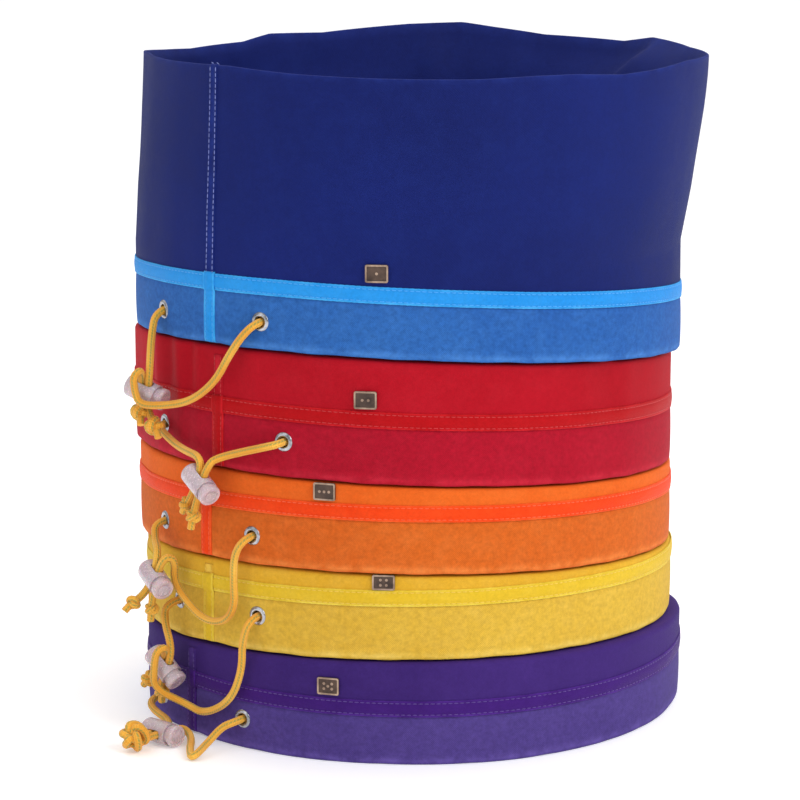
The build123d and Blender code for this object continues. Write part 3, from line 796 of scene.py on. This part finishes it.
def join_bag(piece, colour, slot, *parts):
    """The piece moves with its bag and replaces these CAD nodes of the bag. The slot is not used."""
    if parts:
        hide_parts(*[colour + "_" + part for part in parts])
    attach(piece, colour + "_bag")


def wear_on(piece, values):
    """Stores how worn each vertex is, for the material."""
    layer = piece.data.attributes.new("wear", "FLOAT", "POINT")
    layer.data.foreach_set("value", np.asarray(values, np.float32).ravel())


def thicken(piece, depth):
    """Gives the cloth its thickness, inwards from its face."""
    solid = piece.modifiers.new("thickness", "SOLIDIFY")
    solid.thickness, solid.offset = depth, -1.0
    solid.use_even_offset = False


def stitches(name, lines, size, material):
    """Stitches as one mesh: each line is a list of (point, direction along, direction out)."""
    ring = np.array([(cos(k * tau / 5), sin(k * tau / 5)) for k in range(5)])
    shape = [(-0.5, 0.0), (-0.42, 0.6), (0.0, 1.0), (0.42, 0.6), (0.5, 0.0)]
    length, wide = size
    points, faces = [], []
    unit, unit_faces = [], []
    for along, fat in shape:
        if fat == 0:
            unit.append((along * length, 0, 0))
        else:
            unit += [(along * length, x * fat * wide / 2, y * fat * wide / 2) for x, y in ring]
    for k in range(5):
        n = (k + 1) % 5
        unit_faces.append((0, 1 + n, 1 + k))
        for row in range(2):
            a, b = 1 + row * 5, 6 + row * 5
            unit_faces.append((a + k, a + n, b + n, b + k))
        unit_faces.append((11 + k, 11 + n, 16))
    unit = np.array(unit)
    for number, (spot, along, out) in enumerate(lines):
        side = np.cross(out, along)
        points.append(np.array(spot) + unit @ np.array([along, side, out]))
        faces += [tuple(i + number * len(unit) for i in f) for f in unit_faces]
    return build(name, np.vstack(points), faces, material)


AROUND = np.arange(0, 360, 0.9) - 180.0
FINE = np.arange(0, 360, 0.5) - 180.0
# the band across: height over its lower edge, and how proud of the cloth it stands
TAPE_PROFILE = [
    (0.0, 0.00002), (0.0001, 0.0006), (0.0008, 0.00075), (0.0014, 0.0006), (0.0020, 0.0008),
    (0.0034, 0.00095), (0.0045, 0.0010), (0.0056, 0.00095), (0.0070, 0.0008), (0.0076, 0.0006),
    (0.0082, 0.00075), (0.0089, 0.0006), (0.0090, 0.00002),
]
STITCH_ROWS = (0.0014, 0.0076)
STITCH_PITCH = 0.0031
PUFF = 0.0004  # how far the filled casing swells between its hem and its band
SEAM_ROWS = (-0.85, 0.85)  # the seam's two stitch rows, in degrees off its middle
SEAM_PITCH = 0.0029
HEM_EDGE_ROW = 17
EYELET_HOLE = 0.0038
EYELET_SIDES = 40
SAG = 0.0012  # the screen's, at its middle
BINDING_W = 0.0100
BINDING_ROWS = (0.0018, 0.0082)


def make_body(colour):
    """The bag's main cloth, from under the band up, over the fold and down into the well."""
    index, bag = NEST.index(colour), BAGS[colour]
    rows, fold_row = body_profile(colour, AROUND)
    points, along = place(rows, AROUND)
    across = np.radians(AROUND + 180) * bag["radius"]
    piece = grid(colour + "_bag_cloth", points, across, along, True, CLOTH[colour])
    z = points[..., 2]
    near_fold = np.exp(-(((along - along[fold_row]) / 0.0022) ** 2))
    wear_on(piece, near_fold * (0.22 if index == 0 else 0.2))
    thicken(piece, WALL * 0.8)
    join_bag(piece, colour, colour + "_cloth", "body", "well")
    return piece, float(along[-1].mean())


def make_seam(colour):
    """The lapped seam: a narrow raised strip with two rows of stitches."""
    bag = BAGS[colour]
    index = NEST.index(colour)
    across = np.array([-1.24, -1.18, -0.9, -0.4, 0.0, 0.4, 0.9, 1.18, 1.24])
    lift = np.array([-0.0003, 0.0003, 0.0006, 0.00055, 0.0003, 0.00055, 0.0006, 0.0003, -0.0003])
    azimuth = bag["seam"] + across
    rows, fold_row = body_profile(colour, azimuth)
    last = fold_row + 10 if index == 0 else 13
    rows = rows[:last]
    raised, along = place(rows, azimuth, lift)
    piece = grid(colour + "_seam", raised, np.radians(azimuth) * bag["radius"], along, False, CLOTH[colour])
    wear_on(piece, 0.12 + 0.25 * (np.abs(across) < 0.5) + 0 * raised[..., 0])
    thicken(piece, 0.0004)
    join_bag(piece, colour, colour + "_cloth")
    spots = []
    for side in SEAM_ROWS:
        line_rows, _ = body_profile(colour, np.array([bag["seam"] + side]))
        line, gone = place(line_rows[:last], np.array([bag["seam"] + side]), 0.00072)
        line, gone = line[:, 0], gone[:, 0]
        for s in np.arange(0.0012, gone[-1] - 0.001, SEAM_PITCH):
            here = np.array([np.interp(s, gone, line[:, k]) for k in range(3)])
            there = np.array([np.interp(s + 0.0004, gone, line[:, k]) for k in range(3)])
            step = (there - here) / np.linalg.norm(there - here)
            out = np.array([here[0], here[1], 0]) / np.hypot(here[0], here[1])
            out = out - step * (out @ step)
            spots.append((here, step, out / np.linalg.norm(out)))
    material = SEAM_THREAD if colour == "blue" else THREAD[colour]
    sewn = stitches(colour + "_seam_stitches", spots, (0.0023, 0.00055), material)
    join_bag(sewn, colour, colour + "_cloth")
    return [piece, sewn]


def make_hem(colour):
    """The drawcord casing: outer skin, rounded hem edge and inner skin."""
    bag = BAGS[colour]
    radius, band = bag["radius"], bag["band"]
    hem = hem_height(colour, FINE)
    turn = np.radians(FINE)
    seed = NEST.index(colour) * 2.3
    lip = 0.00012 * np.sin(23 * turn + seed) + 0.0001 * np.sin(41 * turn + 2 * seed)
    lip = np.maximum(lip, 0) if colour == "purple" else lip
    near_seam = np.exp(-((wrap(FINE - bag["seam"]) / 4.5) ** 2))
    lip = lip + 0.0007 * near_seam
    rows = []
    tall = band + CASING_OVER
    for t in np.linspace(1, 0.13, 22):
        z = hem + tall * t
        puff = PUFF * np.sin(pi * min(1.0, t * tall / band)) ** 0.7 if t * tall < band else 0.0
        under_tape = 0.0003 if t * tall > band - 0.001 else 0.0
        rows.append((radius + relief(colour, FINE, z) + puff - under_tape, z))
    edge = relief(colour, FINE, hem + 0.004)
    rows.append((radius + edge + 0.0001, hem + 0.0022 + lip * 0.4))
    rows.append((radius + edge, hem + 0.0009 + lip * 0.8))
    rows.append((radius + edge - 0.0004, hem + 0.0002 + lip))
    rows.append((radius - 0.0022 + edge * 0.5, hem + 0.0000 + lip))
    rows.append((radius - 0.0042, hem + 0.0004 + 0 * lip))
    rows.append((radius - 0.0058, hem + 0.0018 + 0 * lip))
    for t in np.linspace(0.13, 1, 12):
        rows.append((radius - CASING_T + 0.0006 + 0 * lip, hem + tall * t))
    rows = rows[::-1]
    points, along = place(rows, FINE)
    across = np.radians(FINE + 180) * radius
    piece = grid(colour + "_hem", points, across, along, True, HEM_CLOTH[colour])
    level = along - along[HEM_EDGE_ROW]
    wear_on(piece, 0.35 * np.exp(-((level / 0.0018) ** 2)))
    # the eyelet holes
    made = bmesh.new()
    made.from_mesh(piece.data)
    gone = []
    for azimuth, height in bag["eyelets"]:
        centre = Vector(polar(azimuth, radius, height))
        gone += [f for f in made.faces if (f.calc_center_median() - centre).length < EYELET_HOLE]
    bmesh.ops.delete(made, geom=gone, context="FACES")
    made.to_mesh(piece.data)
    made.free()
    thicken(piece, 0.0005)
    join_bag(piece, colour, colour + "_hem_cloth", "hem_casing")
    return piece, float(along[-1].mean())


def tape_surface(colour, azimuth, rise):
    """A point's radius on the cloth and its height, at a rise above the hem."""
    z = hem_height(colour, azimuth) + rise
    return BAGS[colour]["radius"] + relief(colour, azimuth, z), z


def make_tapes(colour):
    """The band round the top of the casing and the tape down over the seam, with their stitches."""
    bag = BAGS[colour]
    band = bag["band"]
    azimuth = np.arange(0, 360, 0.375) - 180.0
    rows = []
    dimple = 0.5 + 0.5 * np.cos(np.radians(azimuth) * bag["radius"] / STITCH_PITCH * tau)
    for rise, proud in TAPE_PROFILE:
        r, z = tape_surface(colour, azimuth, band + rise)
        near = max(np.exp(-(((rise - row) / 0.0005) ** 2)) for row in STITCH_ROWS)
        fray = 0.00008 * np.sin(np.radians(azimuth) * 310 + rise * 4000)
        rows.append((r + proud - 0.00028 * near * dimple, z + fray * (rise < 0.0005 or rise > 0.0085)))
    points, along = place(rows, azimuth)
    across = np.radians(azimuth + 180) * bag["radius"]
    piece = grid(colour + "_band", points, across, along, True, TAPE[colour])
    rises = np.array([row[0] for row in TAPE_PROFILE])
    edge = np.exp(-((rises / 0.0009) ** 2)) + 0.5 * np.exp(-(((rises - BAND_W) / 0.0009) ** 2))
    wear_on(piece, 0.5 * edge[:, None] + 0 * points[..., 0])
    # tape over the seam, from just under the band down to the hem, turned under it
    across_s = np.array([-1.55, -1.5, -1.3, -0.95, -0.5, 0.0, 0.5, 0.95, 1.3, 1.5, 1.55])
    proud_s = np.array([0.0, 0.0005, 0.00075, 0.0006, 0.0009, 0.0010, 0.0009, 0.0006, 0.00075, 0.0005, 0.0])
    a = bag["seam"] + across_s
    rows = [(bag["radius"] - 0.0030 + proud_s * 0, hem_height(colour, a) + 0.0001 + 0 * a)]
    for rise, inward in ((0.0001, 0.0014), (0.0006, 0.0003)):
        r, z = tape_surface(colour, a, rise + 0.0006)
        rows.append((r - inward + proud_s, z))
    over_band = [band + 0.0006, band + 0.0045, band + 0.0085, band + 0.0098]
    for rise in np.append(np.linspace(0.003, band - 0.0006, 14), over_band):
        r, z = tape_surface(colour, a, rise)
        puff = PUFF * max(0.0, sin(pi * rise / band)) ** 0.7 + 0.0009 * (band < rise < band + BAND_W)
        rows.append((r + proud_s + puff, z))
    strip_points, strip_along = place(rows, a)
    strip_across = np.radians(a) * bag["radius"]
    strip = grid(colour + "_seam_tape", strip_points, strip_across, strip_along, False, TAPE[colour])
    wear_on(strip, 0.35 * (np.abs(across_s) > 1.2) + 0 * strip_points[..., 0])
    thicken(strip, 0.0003)
    # stitches
    spots = []
    for row in STITCH_ROWS:
        for a0 in np.arange(0, 360, np.degrees(STITCH_PITCH / bag["radius"])) - 180.0:
            r, z = tape_surface(colour, np.array([a0]), band + row)
            r2, z2 = tape_surface(colour, np.array([a0 + 0.4]), band + row)
            here = np.array(polar(a0, r[0] + 0.00052, z[0]))
            there = np.array(polar(a0 + 0.4, r2[0] + 0.00052, z2[0]))
            step = (there - here) / np.linalg.norm(there - here)
            spots.append((here, step, np.array(polar(a0, 1.0, 0.0))))
    for side in (-0.95, 0.95):
        for rise in np.arange(0.0022, band - 0.0012, 0.0028):
            a0 = np.array([bag["seam"] + side])
            r, z = tape_surface(colour, a0, rise)
            puff = PUFF * np.sin(pi * rise / band) ** 0.7
            here = np.array(polar(a0[0], r[0] + puff + 0.0006, z[0]))
            spots.append((here, np.array([0, 0, 1.0]), np.array(polar(a0[0], 1.0, 0.0))))
    sewn = stitches(colour + "_band_stitches", spots, (0.0024, 0.0006), THREAD[colour])
    join_bag(piece, colour, colour + "_tape", "tapes")
    join_bag(strip, colour, colour + "_tape")
    join_bag(sewn, colour, colour + "_tape")
    return [piece, strip, sewn]


def make_screen(colour):
    """The filter screen across the foot of the well, sagging a little, and its stitched binding."""
    index, bag = NEST.index(colour), BAGS[colour]
    edge, foot = WELL[0][0] + WELL_PITCH * index, bag["foot"]
    turns = np.radians(np.arange(0, 360, 3.0))
    shares = np.linspace(0.02, 1, 30)
    rows = []
    for share in shares:
        r = (edge + WALL) * share
        sag = SAG * (1 - share ** 2)
        rows.append(np.stack([r * np.sin(turns), -r * np.cos(turns), foot - 0.0003 - sag + 0 * turns], -1))
    hub, count = len(shares) * len(turns), len(turns)
    points = np.concatenate([*rows, [[0, 0, foot - 0.0003 - SAG]]])
    faces = grid_faces(len(shares), count, True).tolist()
    faces += [[hub, (k + 1) % count, k] for k in range(count)]
    corners = [corner for face in faces for corner in face]
    screen = build(colour + "_screen", points, faces, MESH, points[corners, :2])
    thicken(screen, 0.0003)
    join_bag(screen, colour, "screen_mesh", "mesh_screen")
    # binding
    a = np.arange(0, 360, 0.75) - 180.0
    inner = edge - BINDING_W
    profile = [
        (0.0, 0.0), (0.0001, 0.0005), (0.0012, 0.00062), (0.0018, 0.0005), (0.0030, 0.00068),
        (0.0070, 0.00068), (0.0082, 0.0005), (0.0088, 0.00062), (0.0099, 0.0005),
    ]
    dimple = 0.5 + 0.5 * np.cos(np.radians(a) * inner / STITCH_PITCH * tau)
    rows = [(inner + w + 0 * a, foot + h - 0.0002 * dimple * (w in BINDING_ROWS)) for w, h in profile]
    points, along = place(rows, a)
    across = np.radians(a + 180) * edge
    binding = grid(colour + "_screen_tape", points, across, along, True, TAPE[colour], flip=True)
    wear_on(binding, 0.1 + 0 * points[..., 0])
    spots = []
    for w in BINDING_ROWS:
        for a0 in np.arange(0, 360, np.degrees(STITCH_PITCH / inner)):
            here = np.array(polar(a0, inner + w, foot + 0.0005))
            step = np.array([cos(radians(a0)), sin(radians(a0)), 0])
            spots.append((here, step, np.array([0, 0, 1.0])))
    sewn = stitches(colour + "_screen_stitches", spots, (0.0024, 0.0005), THREAD[colour])
    join_bag(binding, colour, colour + "_tape", "screen_binding")
    join_bag(sewn, colour, colour + "_tape")
    return screen, [binding, sewn], edge


def make_eyelets(colour):
    """Two rolled eyelets: flange outside, barrel through the skin, clinched washer inside."""
    bag = BAGS[colour]
    profile = [
        (0.0032, -0.0014), (0.0047, -0.0012), (0.0048, -0.0009), (0.0034, -0.0008), (0.0030, -0.0003),
        (0.0030, 0.00002), (0.00515, 0.00002), (0.00525, 0.0002), (0.0051, 0.0005), (0.0046, 0.00085),
        (0.0040, 0.00105), (0.0034, 0.0011), (0.0029, 0.0009), (0.00265, 0.0005), (0.0026, 0.0),
        (0.0026, -0.0010), (0.0028, -0.0014), (0.0032, -0.0014),
    ]
    turns = np.arange(EYELET_SIDES) * tau / EYELET_SIDES
    points, faces = [], []
    for number, (azimuth, height) in enumerate(bag["eyelets"]):
        out = np.array(polar(azimuth, 1.0, 0.0))
        side = np.array([-out[1], out[0], 0.0])
        up = np.array([0, 0, 1.0])
        centre = np.array(polar(azimuth, bag["radius"], height))
        for r, h in profile:
            ring = np.cos(turns)[:, None] * side + np.sin(turns)[:, None] * up
            points.append(centre + ring * r + out * h)
        faces.append(grid_faces(len(profile), EYELET_SIDES, True) + number * len(profile) * EYELET_SIDES)
    piece = build(colour + "_eyelet_pair", np.concatenate(points), np.concatenate(faces).tolist(), CHROME)
    join_bag(piece, colour, "eyelet_metal", "eyelets")


def torus_knot(centre, axis, big, small, loops, squash, phase=0.0):
    """Control points of a knot wound twice about an axis."""
    axis = Vector(axis).normalized()
    u = axis.orthogonal().normalized()
    v = axis.cross(u)
    count = loops * 6
    points = []
    for k in range(count):
        t = tau * k / count
        r = big + small * cos(loops * t + phase)
        around = u * (r * cos(2 * t)) + v * (r * sin(2 * t))
        points.append(Vector(centre) + (around + axis * (small * squash * sin(loops * t + phase))))
    return points


SHARED_RUN_IN = 0.004  # how far purple's strands run on past the lock, into their shared knot
TAIL_R = 0.00205
CASING_STEPS = 24
CASING_STEP = 0.002


def cord_piece(colour, name, line, radius, closed=False, relief=BRAID_RELIEF):
    """A braided piece of a bag's cord."""
    piece = braided(f"{colour}_{name}", line, radius, YARN, closed, relief)
    join_bag(piece, colour, "cord", "drawcord")
    return piece


def make_cord(colour):
    """The drawcord: two free strands through the lock to their knots, and the run inside the casing."""
    bag = BAGS[colour]
    radius = bag["radius"]
    knots = [(spot(colour, point), size) for point, size in STRANDS[colour]["knots"]]
    shared = len(knots) == 1
    routes, knot_pieces = {}, {}
    for side, strand in enumerate(("left", "right")):
        route = [spot(colour, point) for point in STRANDS[colour][strand]]
        routes[strand] = route
        if shared:
            route.append(route[-1] + lock_axes(colour)[1] * SHARED_RUN_IN)
            continue
        centre, size = knots[side]
        way = (centre - route[-1]).normalized()
        route.append(centre - way * size * 0.5)
        loops = torus_knot(centre, way, size * 0.50, size * 0.30, 3, 1.35, 0.6 * side)
        knot = cord_piece(colour, f"knot_{strand}", wound(loops, True), size * 0.42, True)
        tail_end = centre + way * (size + 0.0022) + Vector((0, 0, -0.0012))
        tail_line = wound([centre, centre + way * size * 0.9, tail_end])
        tail = cord_piece(colour, f"tail_{strand}", tail_line, TAIL_R)
        knot_pieces[strand] = [knot, tail]
    if shared:
        centre, way = knots[0][0], lock_axes(colour)[1]
        loops = torus_knot(centre, way + Vector((0.35, 0.2, 0.5)), 0.0043, 0.0026, 5, 1.9)
        knot = cord_piece(colour, "knot", wound(loops, True), 0.00215, True)
        loops = torus_knot(centre, way.orthogonal(), 0.0036, 0.0018, 3, 1.6)
        heart = cord_piece(colour, "knot_core", wound(loops, True), TAIL_R, True)
        knot_pieces["left"] = knot_pieces["right"] = [knot, heart]
    for side, strand in enumerate(("left", "right")):
        line = wound(routes[strand])
        piece = cord_piece(colour, f"cord_{strand}", line, CORD / 2 - BRAID_RELIEF)
        azimuth, height = bag["eyelets"][side]
    # the run inside the casing, the long way round the back
    (left_azimuth, left_z), (right_azimuth, right_z) = bag["eyelets"]
    span = 360.0 - (right_azimuth - left_azimuth)
    rise = left_z - float(hem_height(colour, left_azimuth))
    climb = right_z - float(hem_height(colour, right_azimuth)) - rise
    route = []
    for number in range(CASING_STEPS + 1):
        azimuth = left_azimuth - span * number / CASING_STEPS
        inwards = min(0.0, float(lean(colour, wrap(azimuth))) + 0.0014) * (0 < number < CASING_STEPS)
        height = float(hem_height(colour, azimuth)) + rise + climb * number / CASING_STEPS
        route.append(polar(azimuth, radius - CORD_DEPTH + 0.0010 + inwards, height))
    cord_piece(colour, "cord_in_casing", wound(route, step=CASING_STEP), CORD / 2, relief=0.00005)


def dress(node, material, angle=35):
    """A CAD node that keeps its shape: a material, smooth shading and softened edges."""
    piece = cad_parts[node]
    piece.data.materials.clear()
    piece.data.materials.append(material)
    piece.data.shade_smooth()
    piece.data.set_sharp_from_angle(angle=radians(angle))


def raise_tag(colour):
    """Gives the size tag's rim and pips their rubbed, brighter finish."""
    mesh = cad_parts[colour + "_size_tag"].data
    mesh.materials.append(RUBBED)
    way = Vector(polar(BAGS[colour]["tag"][0], 1.0, 0.0))
    outs = [polygon.center.dot(way) for polygon in mesh.polygons]
    face = max(outs) - 0.0002
    for polygon, out in zip(mesh.polygons, outs):
        if out > face:
            polygon.material_index = 1


for colour in NEST:
    make_cord(colour)
for colour in NEST:
    body, body_long = make_body(colour)
    seam = make_seam(colour)
    hem, hem_long = make_hem(colour)
    tapes = make_tapes(colour)
    screen, binding, edge = make_screen(colour)
    make_eyelets(colour)
    dress(colour + "_lock_barrel", PLASTIC)
    dress(colour + "_lock_plunger", PLASTIC)
    dress(colour + "_lock_spring", STEEL, 60)
    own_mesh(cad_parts[colour + "_lock_spring"])
    dress(colour + "_size_tag", BRONZE, 30)
    raise_tag(colour)

# ---- floor ----

REACH = 12.0
corners = [(-REACH, -REACH, 0), (REACH, -REACH, 0), (REACH, REACH, 0), (-REACH, REACH, 0)]
floor_mesh = bpy.data.meshes.new("floor")
floor_mesh.from_pydata(corners, [], [(0, 1, 2, 3)])
floor = bpy.data.objects.new("floor", floor_mesh)
scene.collection.objects.link(floor)
pale = Shader("pale_floor")
pale.feed(pale.bsdf, {"Base Color": (0.93, 0.93, 0.94, 1), "Roughness": 0.4})
pale.feed(pale.bsdf, {"Emission Color": (1, 1, 1, 1), "Emission Strength": 0.22})
floor_mesh.materials.append(pale.material)
